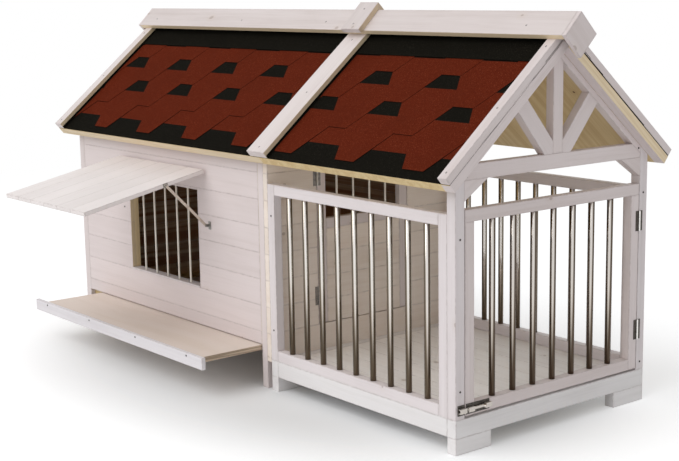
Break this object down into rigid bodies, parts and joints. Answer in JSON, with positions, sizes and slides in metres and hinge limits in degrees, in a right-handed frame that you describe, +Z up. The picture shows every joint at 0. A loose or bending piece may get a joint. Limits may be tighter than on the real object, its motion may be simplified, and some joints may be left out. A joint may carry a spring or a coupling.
{
  "type": "dog house",
  "caption": "Wooden dog house on legs with a barred pen, pull-out floor tray, propped window flap, barred doors and a shingled gable roof.",
  "frame": {"origin": "on the floor, under the middle of the bounding box with the tray and flap as they are at rest", "axes": "+X along the ridge from the house to the pen door, -Y towards the window flap and tray, +Z up"},
  "size_m": [1.994, 1.1614, 1.0793],
  "materials": {
    "whitewashed_pine": "thin white wash over pine, satin",
    "natural_pine": "bare pine, planed",
    "tray_board": "bare pine board, matt",
    "shingle": "mineral granules, matt, red over black",
    "bar_steel": "polished tube",
    "zinc_hardware": "dull zinc plate",
    "white_grille": "cream paint"
  },
  "bodies": {
    "house": {"house_posts": "whitewashed_pine", "pen_corner_posts": "whitewashed_pine", "window_wall_boards": "whitewashed_pine", "back_wall_boards": "whitewashed_pine", "left_wall_boards": "whitewashed_pine", "partition_boards": "whitewashed_pine", "window_jambs": "natural_pine", "window_sill": "whitewashed_pine", "window_head": "whitewashed_pine", "window_bars": "white_grille", "tray_bearers": "natural_pine", "tray_guide_strip": "natural_pine", "flap_hinge_wall_leaves": "zinc_hardware", "stay_wall_bracket": "zinc_hardware", "pen_feet": "whitewashed_pine", "pen_end_skirts": "whitewashed_pine", "pen_side_skirts": "whitewashed_pine", "pen_floor_bearers": "natural_pine", "pen_floor_boards": "whitewashed_pine", "side_panel_stiles": "whitewashed_pine", "side_panel_rails": "whitewashed_pine", "side_panel_bars": "bar_steel", "front_hinge_post_leaves": "zinc_hardware", "latch_keeper": "zinc_hardware", "gable_tie_beam": "whitewashed_pine", "gable_king_post": "whitewashed_pine", "gable_struts": "whitewashed_pine", "gable_rafters": "whitewashed_pine", "gable_knee_blocks": "whitewashed_pine", "inner_hinge_wall_leaves": "zinc_hardware", "house_roof_decks": "natural_pine", "pen_roof_decks": "natural_pine", "house_shingles": "shingle", "pen_shingles": "shingle", "door_end_barge_boards": "whitewashed_pine", "left_end_barge_boards": "whitewashed_pine", "roof_joint_battens": "whitewashed_pine", "ridge_cap_boards": "whitewashed_pine", "ridge_saddle_boards": "whitewashed_pine", "ridge_end_plates": "whitewashed_pine", "frame_screws": "zinc_hardware"},
    "tray": {"tray_panel": "tray_board", "tray_front_board": "whitewashed_pine", "tray_screws": "zinc_hardware"},
    "flap": {"flap_boards": "whitewashed_pine", "flap_battens": "whitewashed_pine", "flap_hinge_leaves": "zinc_hardware", "stay_flap_bracket": "zinc_hardware"},
    "stay_upper": {"stay_upper_link": "zinc_hardware"},
    "stay_lower": {"stay_lower_link": "zinc_hardware"},
    "front_door": {"front_door_stiles": "whitewashed_pine", "front_door_rails": "whitewashed_pine", "front_door_bars": "bar_steel", "front_hinge_door_leaves": "zinc_hardware", "latch_plate": "zinc_hardware"},
    "latch_bolt": {"latch_bolt": "zinc_hardware"},
    "inner_door": {"inner_door_frame": "whitewashed_pine", "inner_door_boards": "whitewashed_pine", "inner_door_bars": "white_grille", "inner_hinge_door_leaves": "zinc_hardware"}
  },
  "joints": [
    {"name": "tray_slide", "type": "slide", "parent": "house", "child": "tray", "axis": [0, 1, 0], "range_m": [-0.35, 0.195]},
    {"name": "flap_hinge", "type": "hinge", "parent": "house", "child": "flap", "pos_m": [-0.385, -0.1821, 0.591], "axis": [1, 0, 0], "range_deg": [0, 78]},
    {"name": "stay_lower_pivot", "type": "hinge", "parent": "house", "child": "stay_lower", "pos_m": [-0.135, -0.1881, 0.436], "axis": [1, 0, 0], "range_deg": [-44.62, 0]},
    {"name": "stay_upper_pivot", "type": "hinge", "parent": "flap", "child": "stay_upper", "pos_m": [-0.138, -0.31833, 0.56818], "axis": [1, 0, 0], "range_deg": [0, 57.47]},
    {"name": "front_door_hinge", "type": "hinge", "parent": "house", "child": "front_door", "pos_m": [0.9276, 0.4899, 0.35], "axis": [0, 0, 1], "range_deg": [0, 110]},
    {"name": "latch_slide", "type": "slide", "parent": "front_door", "child": "latch_bolt", "axis": [0, -1, 0], "range_m": [0, 0.02]},
    {"name": "inner_door_hinge", "type": "hinge", "parent": "house", "child": "inner_door", "pos_m": [0.1696, -0.00709, 0.4], "axis": [0, 0, -1], "range_deg": [0, 100]}
  ],
  "couplings": [
    {"joint": "stay_lower_pivot", "follows": "flap_hinge", "ratio": -0.57148},
    {"joint": "stay_upper_pivot", "follows": "flap_hinge", "ratio": 0.73621}
  ]
}
